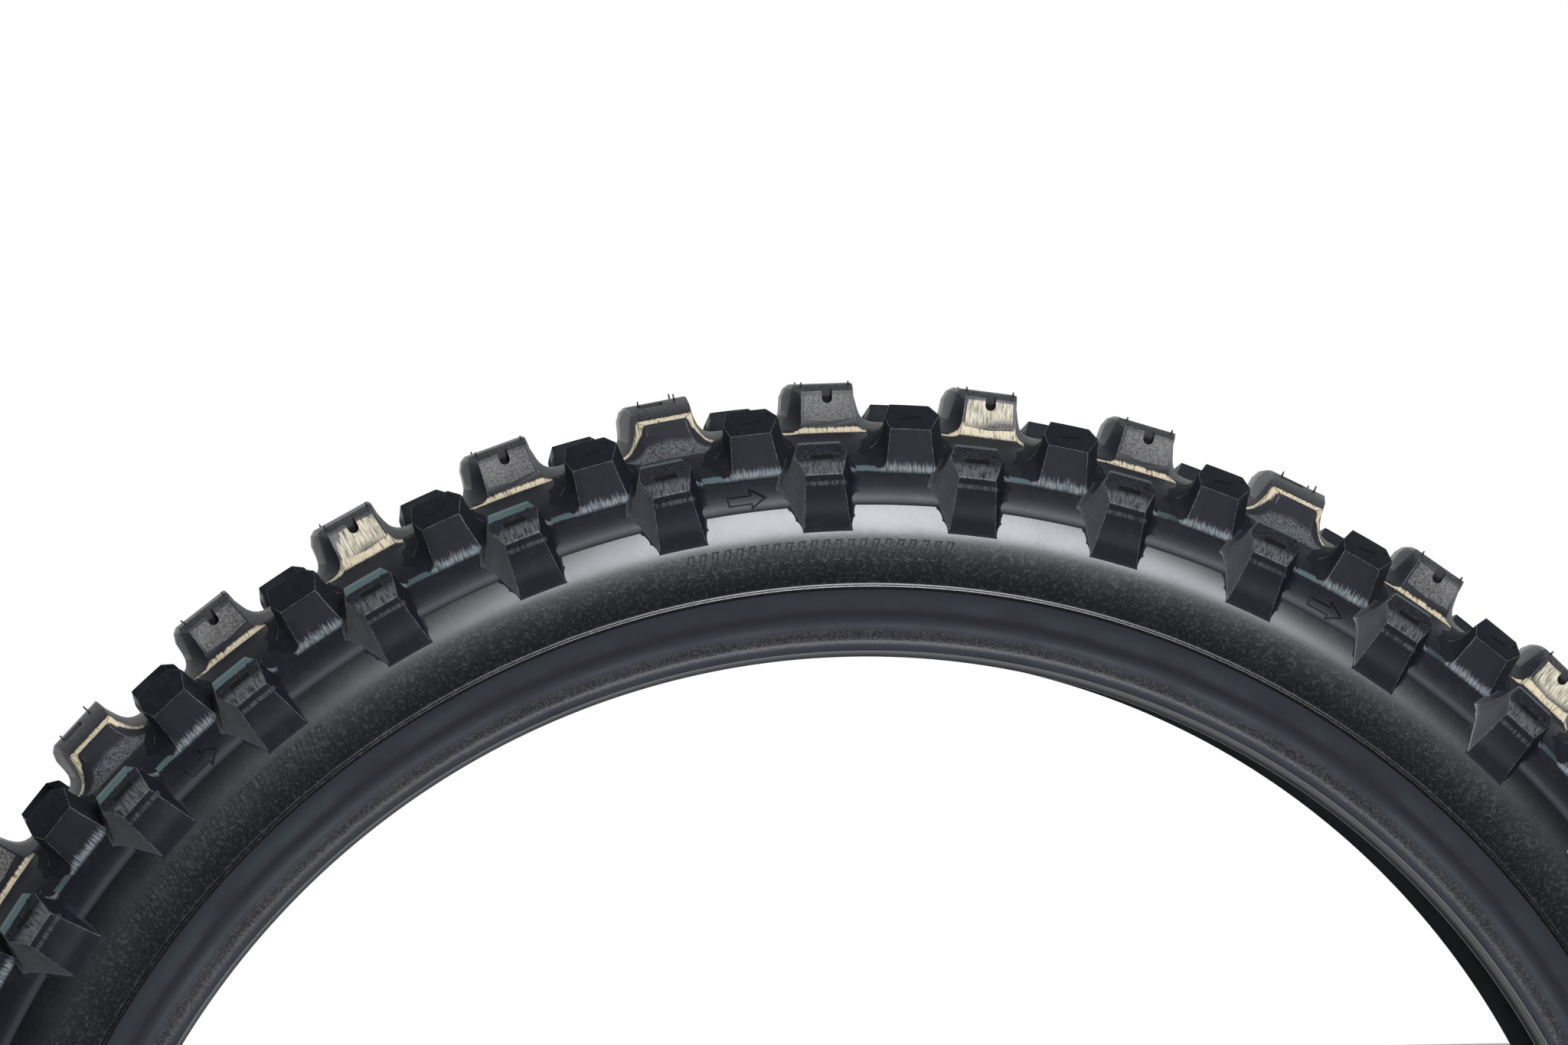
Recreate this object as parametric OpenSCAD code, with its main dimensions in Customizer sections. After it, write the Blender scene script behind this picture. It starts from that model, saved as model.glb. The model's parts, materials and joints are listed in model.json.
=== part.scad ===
// Off-road motorcycle front tyre, 21 inch, cross-ply, with four rows of knobs round a centre row.
// The wheel's axis is Y, the tyre stands upright with +Z up, and the origin is the wheel's centre.
// Seen from -Y (the right-hand side) the tyre rolls clockwise, so its top moves towards +X.

/* [Casing] */
// Radius of the cylindrical seat that grips the rim
seat_r = 266.7; // [266.2:0.1:267.2]
// Radius at which the section is widest
wide_r = 304; // [303:0.5:305]
// Radius of the tread floor at the crown, between the knobs
crown_r = 342.5; // [341:0.5:343.5]
// Half of the section's width over the sidewalls
half_w = 38.5; // [37.5:0.25:39.5]
// Thickness of each of the two body plies
ply_t = 0.9; // [0.7:0.1:1]
// Thickness of the liner inside the casing
liner_t = 1.2; // [0.8:0.1:1.5]
// Sidewall rubber over the plies at the widest place
side_t = 3.8; // [3.2:0.1:4.4]
// Tread floor rubber, cushion and breakers together at the crown
crown_t = 6.6; // [5.6:0.1:7.6]

/* [Crown plies] */
// Thickness of each breaker ply
breaker_t = 0.8; // [0.5:0.1:1]
// Thickness of the cushion gum over the breakers
cushion_t = 1; // [0.6:0.1:1.4]

/* [Bead] */
// Width of the wire bundle across the tyre
core_w = 4.2; // [3.8:0.1:4.2]
// Height of the wire bundle
core_h = 3.2; // [2.8:0.1:3.3]
// Distance from the tyre's middle to the inner side of the bead wrap
wrap_y = 24.3; // [24:0.1:24.6]
// Thickness of the wrap round the bundle
flipper_t = 0.4; // [0.3:0.1:0.5]
// Thickness of the chafer strip under the bead
chafer_t = 0.9; // [0.7:0.1:1.1]

/* [Tread pattern] */
// Number of pitches round the tyre, in sets of four
pitches = 40; // [40:4:44]
// Radius over the centre knobs
crest_r = 356.5; // [355:0.5:358]
// Half width of the narrow centre knobs at the top of their side panels
narrow_y = 10.4; // [10:0.2:11]
// Half width of the medium centre knobs
medium_y = 11.9; // [11.4:0.2:12.4]
// Half width of the wide centre knobs
wide_y = 16.2; // [15.6:0.2:16.8]
// Width of the notch in a centre knob's side panel
notch_w = 3.4; // [2.8:0.2:4]
// Length of a centre knob's top along the rolling direction
knob_len = 19.6; // [19:0.2:20.4]

/* [Hidden] */
ring_fn = 240;

// Casing curve: the outer face of the plies, as two half ellipses that meet at the widest place.
// phi is 0 at the crown and 90 at the widest place; points are [radius, distance across].
ply_w = half_w - side_t;
crown_h = crown_r - crown_t - wide_r;
bead_h = 40.3;
phi_step = 4;
// Lowest point of the plies' main leg above the bead
phi_low = 132;
// Turned-up plies: where they lie against the casing, and where each of them ends
phi_tuck = 116;
phi_turnup = 104;
phi_turnup_short = 108;
// Where the tread's crown strip meets its shoulder strips, and where those end on the sidewall
phi_strip = 28;
phi_wing = 68;
gum_t = 0.3;
base_r = seat_r + chafer_t + 2 * ply_t;
wrap_out_y = wrap_y + 2 * flipper_t + core_w;
corner = 0.8;

function unit(v) = v / norm(v);
function height(phi) = phi < 90 ? crown_h : bead_h;
function wall(phi) = [wide_r + height(phi) * cos(phi), ply_w * sin(phi)];
function wall_normal(phi) = unit([cos(phi) / height(phi), sin(phi) / ply_w]);
function wall_at(phi, t) = wall(phi) + t * wall_normal(phi);
function reversed(list) = [for (i = [len(list) - 1:-1:0]) list[i]];
function slice(list, from, to) = [for (i = [from:to]) list[i]];
function flip(list) = [for (p = list) [p[0], -p[1]]];

// Path of the plies from the crown, down the inside of a bead, under it and up its outside.
main_leg = [for (phi = [0:phi_step:phi_low]) wall(phi)];
bead_turn = [
    [base_r + 3.8, wrap_y],
    [base_r + corner, wrap_y],
    [base_r, wrap_y + corner],
    [base_r, wrap_out_y - corner],
    [base_r + corner, wrap_out_y],
    [base_r + 4, wrap_out_y + 0.2]
];
turn_up = [for (phi = [phi_tuck:-phi_step:phi_turnup]) wall_at(phi, gum_t)];
half_path = concat(main_leg, bead_turn, turn_up);
ply_path = concat(reversed(flip(slice(half_path, 1, len(half_path) - 1))), half_path);
last_main = len(main_leg) - 1;
first_up = last_main + len(bead_turn) + 1;
last_up = len(half_path) - 1;

// A path moved sideways by t, towards the air inside the tyre on its main leg.
function inward(a, b) = let (d = unit(b - a)) [-d[1], d[0]];
function mitre(n1, n2) = (n1 + n2) / (1 + n1 * n2);
function path_normal(path, i) =
    i == 0 ? inward(path[0], path[1]) :
    i == len(path) - 1 ? inward(path[i - 1], path[i]) :
    mitre(inward(path[i - 1], path[i]), inward(path[i], path[i + 1]));
function moved(path, t) = [for (i = [0:len(path) - 1]) path[i] + t * path_normal(path, i)];
function band(path, t0, t1) = concat(moved(path, t0), reversed(moved(path, t1)));

// Faces of the plies and liner on one side of the tyre, counted like half_path.
function half_face(t) = slice(moved(ply_path, t), last_up, 2 * last_up);
ply_face = half_face(2 * ply_t);
liner_face = half_face(2 * ply_t + liner_t);
wrap_face = half_face(-flipper_t);

// Crown layers: distance of each layer's outer face from the plies.
function fade(phi, end) = max(0, min(1, (end - abs(phi)) / phi_step));
breaker_inner_end = 44;
breaker_outer_end = 36;
cushion_end = 60;
function breaker_inner_top(phi) = breaker_t * fade(phi, breaker_inner_end);
function breaker_outer_top(phi) = breaker_inner_top(phi) + breaker_t * fade(phi, breaker_outer_end);
function cushion_top(phi) = breaker_outer_top(phi) + cushion_t * fade(phi, cushion_end);

// Outer rubber: thinnest at the widest place, thicker to the crown, with a lip at the tread's edge.
wing_lip = 0.8;
wing_from = 48;
wing_full = 64;
low_swell = 1.4;
low_span = 24;
function skin_top(phi) = side_t + (crown_t - side_t) * pow(cos(phi), 2);
function wing_share(phi) = max(0, min(1, (abs(phi) - wing_from) / (wing_full - wing_from)));
function wing_top(phi) = skin_top(phi) + wing_lip * wing_share(phi);
function low_skin(phi) = side_t + low_swell * pow((phi - 90) / low_span, 2);

// Rim line: the rib that shows how evenly the tyre sits on the rim, where the sidewall ends.
rim_phi = 112;
rim_line = wall_at(rim_phi, low_skin(rim_phi));
rib_h = 0.6;

// Bead outline below the rim line: flange face, heel, seat and toe.
flange_top_y = 33.4;
flange_y = 32;
seat_out_y = 30.6;
seat_in_y = 24.4;
toe_y = 21.2;
toe_drop = 2.2;
bead_skin = [
    rim_line,
    [rim_line[0] - 4, rim_line[1] - 1.7],
    [seat_r + 11.5, flange_top_y],
    [seat_r + 6, flange_y + 0.4],
    [seat_r + 1.9, flange_y],
    [seat_r + 0.6, flange_y - 0.5],
    [seat_r, seat_out_y],
    [seat_r, seat_in_y],
    [seat_r - toe_drop, toe_y + 0.7],
    [seat_r - toe_drop + 0.2, toe_y],
    [seat_r - toe_drop + 1, wrap_y - 2 * ply_t - liner_t]
];

// A ring about the Y axis from an outline of [radius, distance across] points.
module ring(outline) {
    rotate([-90, 0, 0])
        rotate_extrude($fn = ring_fn)
            polygon(outline);
}

// The same ring on the side of the tyre that sign gives: 1 is left, -1 is right.
module side_ring(outline, sign) {
    ring(sign > 0 ? outline : flip(outline));
}

module inner_liner() {
    first = last_up - last_main - 1;
    last = last_up + last_main + 1;
    outer = slice(moved(ply_path, 2 * ply_t), first, last);
    inner = slice(moved(ply_path, 2 * ply_t + liner_t), first, last);
    color("#2b2b2d") ring(concat(outer, reversed(inner)));
}

module body_ply_inner() {
    short_end = last_up - (phi_turnup_short - phi_turnup) / phi_step;
    first = last_up - short_end;
    last = last_up + short_end;
    outer = slice(moved(ply_path, ply_t), first, last);
    inner = slice(moved(ply_path, 2 * ply_t), first, last);
    color("#6d675c") ring(concat(outer, reversed(inner)));
}

module body_ply_outer() {
    color("#7c7567") ring(band(ply_path, 0, ply_t));
}

module bead_core(sign) {
    rows = 3;
    columns = 4;
    wire_x = core_h / rows;
    wire_y = core_w / columns;
    low_r = base_r + flipper_t;
    low_y = wrap_y + flipper_t;
    module wires() {
        square([core_h - wire_x, core_w - wire_y]);
        for (row = [0:rows - 1])
            for (column = [0:columns - 1])
                translate([row * wire_x, column * wire_y])
                    circle(d = min(wire_x, wire_y), $fn = 8);
    }
    color("#b08d57")
        rotate([-90, 0, 0])
            rotate_extrude($fn = ring_fn)
                mirror([0, sign > 0 ? 0 : 1])
                    translate([low_r + wire_x / 2, low_y + wire_y / 2])
                        wires();
}

// Height of the filler's outer shoulder over the bundle, and how far it leans out there.
shoulder_h = 6;
shoulder_out = 1.2;

module bead_filler(sign) {
    top_r = base_r + flipper_t + core_h;
    inner_foot = [top_r, wrap_y + flipper_t];
    inner_side = concat([inner_foot], reversed(slice(wrap_face, last_main - 2, last_main)));
    tail = [for (phi = [phi_low - 2 * phi_step:-phi_step:phi_turnup]) wall(phi)];
    shoulder = [top_r + shoulder_h, wrap_out_y + shoulder_out];
    outer_side = concat(reversed(turn_up), [shoulder, [top_r, wrap_out_y - flipper_t]]);
    color("#3a3433") side_ring(concat(inner_side, tail, outer_side), sign);
}

module bead_wrap(sign) {
    from = last_main - 2;
    to = first_up - 1;
    outer = slice(half_path, from, to);
    inner = slice(wrap_face, from, to);
    color("#8a8578") side_ring(concat(outer, reversed(inner)), sign);
}

module chafer(sign) {
    face = slice(ply_face, last_main + 1, first_up + 1);
    color("#26282c") side_ring(concat(face, bead_skin, [liner_face[last_main + 1]]), sign);
}

module breaker_inner() {
    end = breaker_inner_end;
    top = [for (phi = [-end:phi_step:end]) wall_at(phi, breaker_inner_top(phi))];
    low = [for (phi = [end - phi_step:-phi_step:phi_step - end]) wall(phi)];
    color("#8f8468") ring(concat(top, low));
}

module breaker_outer() {
    end = breaker_outer_end;
    top = [for (phi = [-end:phi_step:end]) wall_at(phi, breaker_outer_top(phi))];
    low = [for (phi = [end - phi_step:-phi_step:phi_step - end]) wall_at(phi, breaker_inner_top(phi))];
    color("#9a8f73") ring(concat(top, low));
}

module tread_cushion() {
    end = cushion_end;
    top = [for (phi = [-end:phi_step:end]) wall_at(phi, cushion_top(phi))];
    low = [for (phi = [end - phi_step:-phi_step:phi_step - end]) wall_at(phi, breaker_outer_top(phi))];
    color("#454041") ring(concat(top, low));
}

// Strip of tread rubber between two places on the casing curve.
module tread_strip(from, to) {
    top = [for (phi = [from:phi_step:to]) wall_at(phi, wing_top(phi))];
    low = [for (phi = [to:-phi_step:from]) wall_at(phi, cushion_top(phi))];
    ring(concat(top, low));
}

module tread_crown() {
    color("#35363a") tread_strip(-phi_strip, phi_strip);
}

module tread_shoulder(sign) {
    color("#303238") tread_strip(sign > 0 ? phi_strip : -phi_wing, sign > 0 ? phi_wing : -phi_strip);
}

// Outline of the sidewall's outer skin, from the tread wing down to the rim line with its rib.
side_skin = concat(
    [for (phi = [phi_wing:phi_step:88]) wall_at(phi, skin_top(phi))],
    [for (phi = [90:phi_step:rim_phi - 6]) wall_at(phi, low_skin(phi))],
    [wall_at(rim_phi - 2.6, low_skin(rim_phi - 2.6)),
     wall_at(rim_phi - 2, low_skin(rim_phi - 2) + rib_h),
     wall_at(rim_phi - 0.6, low_skin(rim_phi - 0.6) + rib_h),
     rim_line]
);

module sidewall(sign) {
    turned = slice(ply_face, first_up + 1, last_up - (phi_turnup_short - phi_turnup) / phi_step);
    step_outer = slice(half_face(ply_t), last_up - 1, last_up);
    main_part = [for (phi = [phi_turnup:-phi_step:phi_wing]) wall(phi)];
    color("#2f3136")
        side_ring(concat(side_skin, turned, step_outer, [wall_at(phi_turnup, gum_t)], main_part), sign);
}

// Casing outline that the knobs stand on, closed inside the rubber.
floor_outline = concat(
    [for (phi = [-phi_wing:phi_step:phi_wing]) wall_at(phi, wing_top(phi))],
    side_skin,
    [[wide_r, 10], [wide_r, -10]],
    reversed(flip(side_skin))
);

// Bar along the rolling direction with an outline of [distance across, radius] points.
module across_bar(outline, length) {
    rotate([90, 0, 90])
        linear_extrude(length, center = true)
            polygon(outline);
}

// Bar across the tyre with an outline of [rolling distance, radius] points.
module rolling_bar(outline, length) {
    rotate([90, 0, 0])
        linear_extrude(length, center = true)
            polygon(outline);
}

// Upright bar with a plan of [rolling distance, distance across] points.
module plan_bar(outline) {
    translate([0, 0, wide_r - 4])
        linear_extrude(crest_r - wide_r + 10)
            polygon(outline);
}

// Every knob is a bar cut to three outlines, sunk below the floor and then cut back to it.
knob_floor = crown_r - 22;
bar_len = 90;

// Centre knobs: a rounded top, a bevel band over each side panel, and flanks that spread to the foot.
crown_round = 25;
bevel_w = 3;
panel_drop = 1.2;
panel_slope = 0.28;
flank_top = knob_len / 2;
flank_knee = 4;
flank_spread = 2.8;
middle_back = 13.5;
middle_front = 13;
middle_y = 4;
panel_back = 8.3;
panel_front = 9.4;
function crown_fall(y) = crown_round - sqrt(crown_round * crown_round - y * y);

// Centre knob that reaches panel_y to each side. Only a notched one has a flat panel below the bevel.
module centre_knob(panel_y, notched) {
    panel_top = crest_r - crown_fall(panel_y) - (notched ? panel_drop : 0);
    bevel_y = panel_y - bevel_w;
    foot_y = panel_y + panel_slope * (panel_top - knob_floor);
    rounded = [for (f = [-1:0.5:1]) [f * bevel_y, crest_r - crown_fall(f * bevel_y)]];
    profile = concat([[-foot_y, knob_floor], [-panel_y, panel_top]], rounded,
        [[panel_y, panel_top], [foot_y, knob_floor]]);
    knee = flank_top + 0.4;
    foot = flank_top + flank_spread;
    flanks = [[-flank_top, crest_r + 1], [flank_top, crest_r + 1], [knee, crest_r - flank_knee],
        [foot, knob_floor], [-foot, knob_floor], [-knee, crest_r - flank_knee]];
    half_plan = [[-middle_back, middle_y], [-panel_back, foot_y], [-panel_back, foot_y + 1],
        [panel_front, foot_y + 1], [panel_front, foot_y], [middle_front, middle_y]];
    plan = concat(half_plan, reversed(flip(half_plan)));
    difference() {
        intersection() {
            across_bar(profile, bar_len);
            rolling_bar(flanks, bar_len);
            plan_bar(plan);
        }
        ring(floor_outline);
        if (notched)
            for (sign = [-1, 1])
                translate([0, sign * (panel_y + notch_w / 2 - notch_depth), panel_top - notch_low])
                    notch_cutter();
    }
}

// Notch with a round lower end, open at the top of the panel.
notch_depth = 0.3;
notch_low = 3.2;
notch_fn = 24;
module notch_cutter() {
    union() {
        rotate([90, 0, 0])
            cylinder(d = notch_w, h = notch_w, center = true, $fn = notch_fn);
        translate([-notch_w / 2, -notch_w / 2, 0])
            cube([notch_w, notch_w, 12]);
    }
}

module centre_row(kind, panel_y, notched) {
    for (i = [0:pitches - 1])
        if (kind[i % 4] == 1)
            rotate([0, i * 360 / pitches, 0])
                centre_knob(panel_y, notched);
}

module centre_knobs_wide() {
    color("#3c3c40") centre_row([0, 0, 0, 1], wide_y, false);
}

module centre_knobs_medium() {
    color("#4a4a4d") centre_row([0, 1, 0, 0], medium_y, true);
}

module centre_knobs_narrow() {
    color("#515155") centre_row([1, 0, 1, 0], narrow_y, true);
}

// Intermediate knob, halfway between two centre knobs, its top a hexagon that tilts outwards.
module intermediate_knob() {
    profile = [[21.3, crest_r - 8.1], [28.9, crest_r - 15.8], [31.2, crest_r - 28],
        [31.6, knob_floor - 4], [20, knob_floor - 4], [18.6, crest_r - 19]];
    flanks = [[-6.6, crest_r - 8], [8, crest_r - 8], [9.6, crest_r - 12], [9.8, knob_floor - 5],
        [-9.6, knob_floor - 5], [-8.8, crest_r - 12.6]];
    plan = [[-7.3, 16], [6.9, 16], [6.9, 21.3], [9.7, 24.2], [7.4, 29.2], [7.4, 33], [-6.2, 33],
        [-6.2, 29.2], [-9, 25.6], [-7.3, 21.3]];
    difference() {
        intersection() {
            across_bar(profile, bar_len);
            rolling_bar(flanks, bar_len);
            plan_bar(plan);
        }
        ring(floor_outline);
    }
}

// Side knob, in line with a centre knob: its top tilts outwards and its face runs down the sidewall.
// Its back flank is a broad buttress, and its front flank is steep.
module side_knob() {
    profile = [[35.3, crest_r - 20.1], [41.7, crest_r - 29.8], [39.4, crest_r - 48.8],
        [34, crest_r - 49.4], [26, crest_r - 34], [30.4, crest_r - 27.4]];
    outline = [[-7.2, crest_r - 19], [7.1, crest_r - 19], [10.4, crest_r - 32], [10, crest_r - 38],
        [8, crest_r - 49.5], [-7.4, crest_r - 49.5], [-14.2, crest_r - 35], [-13, crest_r - 32]];
    plan = [[-6.2, 42], [6.2, 42], [13, 33.5], [13, 24], [-17, 24], [-17, 33.5]];
    difference() {
        intersection() {
            across_bar(profile, bar_len);
            rolling_bar(outline, bar_len);
            plan_bar(plan);
        }
        ring(floor_outline);
    }
}

module intermediate_row(sign) {
    color("#33363d")
        for (i = [0:pitches - 1])
            rotate([0, (i + 0.5) * 360 / pitches, 0])
                mirror([0, sign > 0 ? 0 : 1, 0])
                    intermediate_knob();
}

// The side knobs lag the centre knobs by one degree.
side_lag = 1;

module side_row(sign) {
    color("#3a3d44")
        for (i = [0:pitches - 1])
            rotate([0, i * 360 / pitches - side_lag, 0])
                mirror([0, sign > 0 ? 0 : 1, 0])
                    side_knob();
}

inner_liner();
body_ply_inner();
body_ply_outer();
bead_core(-1);  // right_bead_core
bead_core(1);  // left_bead_core
bead_filler(-1);  // right_bead_filler
bead_filler(1);  // left_bead_filler
bead_wrap(-1);  // right_bead_wrap
bead_wrap(1);  // left_bead_wrap
chafer(-1);  // right_chafer
chafer(1);  // left_chafer
breaker_inner();
breaker_outer();
tread_cushion();
tread_crown();
tread_shoulder(-1);  // right_tread_shoulder
tread_shoulder(1);  // left_tread_shoulder
sidewall(-1);  // right_sidewall
sidewall(1);  // left_sidewall
centre_knobs_wide();
centre_knobs_medium();
centre_knobs_narrow();
intermediate_row(-1);  // right_intermediate_knobs
intermediate_row(1);  // left_intermediate_knobs
side_row(-1);  // right_side_knobs
side_row(1);  // left_side_knobs
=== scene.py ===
import json
import math

import bpy
from mathutils import Matrix, Vector


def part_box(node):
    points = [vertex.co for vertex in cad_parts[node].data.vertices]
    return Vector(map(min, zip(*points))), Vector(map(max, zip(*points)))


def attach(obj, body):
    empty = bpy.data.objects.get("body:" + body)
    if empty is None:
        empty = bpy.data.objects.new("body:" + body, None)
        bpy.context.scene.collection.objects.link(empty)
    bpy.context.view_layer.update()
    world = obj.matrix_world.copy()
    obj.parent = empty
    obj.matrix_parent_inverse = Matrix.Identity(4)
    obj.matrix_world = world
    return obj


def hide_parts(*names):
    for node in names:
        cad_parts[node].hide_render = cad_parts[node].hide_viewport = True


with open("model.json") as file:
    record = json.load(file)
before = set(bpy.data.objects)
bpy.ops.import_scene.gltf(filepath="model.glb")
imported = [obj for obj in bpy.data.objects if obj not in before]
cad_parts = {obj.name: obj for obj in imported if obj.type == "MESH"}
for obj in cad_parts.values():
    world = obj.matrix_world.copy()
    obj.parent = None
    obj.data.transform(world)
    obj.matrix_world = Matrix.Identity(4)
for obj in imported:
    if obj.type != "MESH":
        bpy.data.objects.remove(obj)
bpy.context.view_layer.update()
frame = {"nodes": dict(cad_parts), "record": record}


# ---- Inner liner ------------------------------------------------------------------------------
# The soft, airtight sheet that lines the casing and faces the inner tube. It is calendered butyl
# rubber, laid on the building drum first and pressed out by a grooved bladder as the tyre cures.

class Wire:
    """A socket in a material's node tree, with the sums that a recipe needs: wire * 2, 1 - wire."""

    def __init__(self, tree, socket):
        self.tree = tree
        self.socket = socket

    def node(self, kind, inputs, output=0, stops=None, **settings):
        """Adds a node: its settings and ramp stops first, then its inputs' values or wires."""
        made = self.tree.nodes.new(kind)
        for name, value in settings.items():
            setattr(made, name, value)
        if stops:
            ramp = made.color_ramp.elements
            while len(ramp) < len(stops):
                ramp.new(0.5)
            for stop, (position, colour) in zip(ramp, stops):
                stop.position = position
                stop.color = colour
        for name, value in inputs.items():
            if isinstance(value, Wire):
                self.tree.links.new(value.socket, made.inputs[name])
            else:
                made.inputs[name].default_value = value
        return Wire(self.tree, made.outputs[output] if made.outputs else None)

    def math(self, operation, other=0.0):
        return self.node("ShaderNodeMath", {0: self, 1: other}, operation=operation)

    def __add__(self, other):
        return self.math("ADD", other)

    __radd__ = __add__

    def __mul__(self, other):
        return self.math("MULTIPLY", other)

    __rmul__ = __mul__

    def __sub__(self, other):
        return self.math("SUBTRACT", other)

    def __rsub__(self, other):
        return (self * -1) + other

    def __truediv__(self, other):
        return self.math("DIVIDE", other)

    def __pow__(self, other):
        return self.math("POWER", other)

    def step(self, low, high):
        """0 below low, 1 above high, and smooth between them. It falls where low is the larger."""
        inputs = {"Value": self, "From Min": low, "From Max": high}
        return self.node("ShaderNodeMapRange", inputs, interpolation_type="SMOOTHSTEP")

    def near(self, middle, half, soft):
        """1 within half of middle, falling to 0 over soft."""
        return (self - middle).math("ABSOLUTE").step(half + soft, half)

    def mix(self, first, second):
        """The first colour where this wire is 0, and the second where it is 1."""
        inputs = {0: self, 6: first, 7: second}
        return self.node("ShaderNodeMix", inputs, output=2, data_type="RGBA")

    def noise(self, scale, detail=3.0, roughness=0.55):
        """Cloudy noise from 0 to 1 on these coordinates, scale times to the millimetre."""
        inputs = {"Vector": self, "Scale": scale, "Detail": detail, "Roughness": roughness}
        return self.node("ShaderNodeTexNoise", inputs)

    def stretched(self, along, across, up):
        """These coordinates, scaled apart on the three axes."""
        factors = {0: self, 1: (along, across, up)}
        return self.node("ShaderNodeVectorMath", factors, operation="MULTIPLY")

    def split(self):
        """The x, y and z of these coordinates."""
        parts = self.node("ShaderNodeSeparateXYZ", {"Vector": self}).socket.node
        return [Wire(self.tree, socket) for socket in parts.outputs]


def new_material(name):
    """An empty material, and its own place coordinates in millimetres."""
    material = bpy.data.materials.new(name)
    material.use_nodes = True
    tree = material.node_tree
    tree.nodes.clear()
    coords = Wire(tree, tree.nodes.new("ShaderNodeTexCoord").outputs["Object"])
    to_mm = {0: coords, "Scale": 1000.0}
    return material, coords.node("ShaderNodeVectorMath", to_mm, operation="SCALE")


def wheel_place(place):
    """Radius from the wheel's axis, distance across from the middle, and angle round the tyre."""
    x, y, z = place.split()
    radius = (x * x + z * z) ** 0.5
    round_angle = x.math("ARCTAN2", z)
    return radius, y.math("ABSOLUTE"), round_angle


def finish(material, colour, roughness, height, depth, sheen=0.5):
    """Closes a recipe: its colour and roughness, and a relief of the given depth in millimetres."""
    start = height if isinstance(height, Wire) else colour
    relief = {"Height": height, "Distance": depth * 0.001, "Strength": 1.0}
    bump = start.node("ShaderNodeBump", relief)
    inputs = {"Base Color": colour, "Roughness": roughness, "Normal": bump,
              "Specular IOR Level": sheen, "Specular Tint": (0.93, 0.95, 1.0, 1)}
    skin = start.node("ShaderNodeBsdfPrincipled", inputs)
    start.node("ShaderNodeOutputMaterial", {"Surface": skin})
    return material


def liner_rubber():
    """Matte inner rubber with the slanted grooves of the curing bladder, dusted with release."""
    material, place = new_material("liner_rubber")
    _, across, turn = wheel_place(place)
    grooves = (turn * 190 + across * 0.35).math("SINE") * 0.5 + 0.5
    dust = place.noise(0.05, 5.0).step(0.42, 0.72)
    cloud = place.noise(0.9, 4.0)
    colour = (dust * 0.7 + cloud * 0.2).mix((0.012, 0.012, 0.013, 1), (0.06, 0.058, 0.055, 1))
    height = grooves.step(0.2, 0.9) * 0.6 + cloud * 0.4
    return finish(material, colour, cloud * 0.2 + 0.55, height, 0.3)


def set_finish(node, material):
    """Gives a CAD node one material all over."""
    slots = frame["nodes"][node].data.materials
    slots.clear()
    slots.append(material)


set_finish("inner_liner", liner_rubber())


# ---- Body plies, breakers and cushion -----------------------------------------------------------
# Two crossed plies of nylon cord turned up round the beads, two breaker plies under the tread and a
# gum cushion over them. The cords are dipped, calendered into thin rubber and cut on the bias.

def cord_cloth(name, bias, tint):
    """Rubbered cord on the bias: brown where the dip shows, and dark in the gum between."""
    material, place = new_material(name)
    turn = wheel_place(place)[2]
    y = place.split()[1]
    cords = (turn * 1900 + y * bias).math("SINE") * 0.5 + 0.5
    wander = place.noise(0.4, 3.0)
    show = cords.step(0.25, 0.8) * (wander * 0.6 + 0.4)
    dark = (tint[0] * 0.16, tint[1] * 0.16, tint[2] * 0.18, 1)
    return finish(material, show.mix(dark, tint), 0.75 - show * 0.15, cords, 0.25, 0.3)


def gum(name, tint):
    """Uncoloured gum stock: matte, with the bloom and small creases of a pressed sheet."""
    material, place = new_material(name)
    bloom = place.noise(0.12, 5.0).step(0.4, 0.7)
    crease = place.noise(1.4, 4.0)
    light = (tint[0] * 1.9, tint[1] * 1.9, tint[2] * 1.9, 1)
    return finish(material, bloom.mix(tint, light), crease * 0.25 + 0.5, crease, 0.12)


ply_cloth = cord_cloth("ply_cloth", 1.6, (0.30, 0.25, 0.17, 1))
cross_cloth = cord_cloth("cross_cloth", -1.6, (0.34, 0.28, 0.19, 1))
for ply, cloth in (("body_ply_inner", ply_cloth), ("body_ply_outer", cross_cloth),
                   ("breaker_inner", ply_cloth), ("breaker_outer", cross_cloth)):
    set_finish(ply, cloth)
set_finish("tread_cushion", gum("cushion_gum", (0.030, 0.027, 0.026, 1)))


# ---- Bead bundles -------------------------------------------------------------------------------
# Each bead is a hoop of twelve bronze-coated steel wires in a rubber bond, with a hard gum filler
# over it and a strip of square-woven cloth wrapped round both before the plies turn up over them.

def bead_wire():
    """Drawn steel wire with a thin bronze coat, its drawing lines running round the hoop."""
    material, place = new_material("bronze_coated_wire")
    lines = place.stretched(0.05, 3.0, 0.05).noise(1.0, 4.0)
    # Grey patches where the bronze coat is worn through to the steel.
    grey_patches = place.noise(0.5, 4.0).step(0.45, 0.65)
    colour = grey_patches.mix((0.52, 0.33, 0.16, 1), (0.36, 0.32, 0.27, 1))
    bump = lines.node("ShaderNodeBump", {"Height": lines, "Distance": 0.00005, "Strength": 0.6})
    inputs = {"Base Color": colour, "Roughness": lines * 0.25 + 0.25, "Metallic": 1.0,
              "Normal": bump}
    metal = lines.node("ShaderNodeBsdfPrincipled", inputs)
    lines.node("ShaderNodeOutputMaterial", {"Surface": metal})
    return material


def woven_cloth():
    """Square-woven chafer cloth, its warp and weft pressed full of gum."""
    material, place = new_material("square_woven_cloth")
    turn = wheel_place(place)[2]
    y = place.split()[1]
    warp = (turn * 1500).math("SINE")
    weft = (y * 5.6).math("SINE")
    weave = (warp * weft) * 0.5 + 0.5
    colour = weave.mix((0.05, 0.045, 0.036, 1), (0.30, 0.27, 0.20, 1))
    return finish(material, colour, 0.85 - weave * 0.1, weave, 0.2, 0.3)


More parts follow.
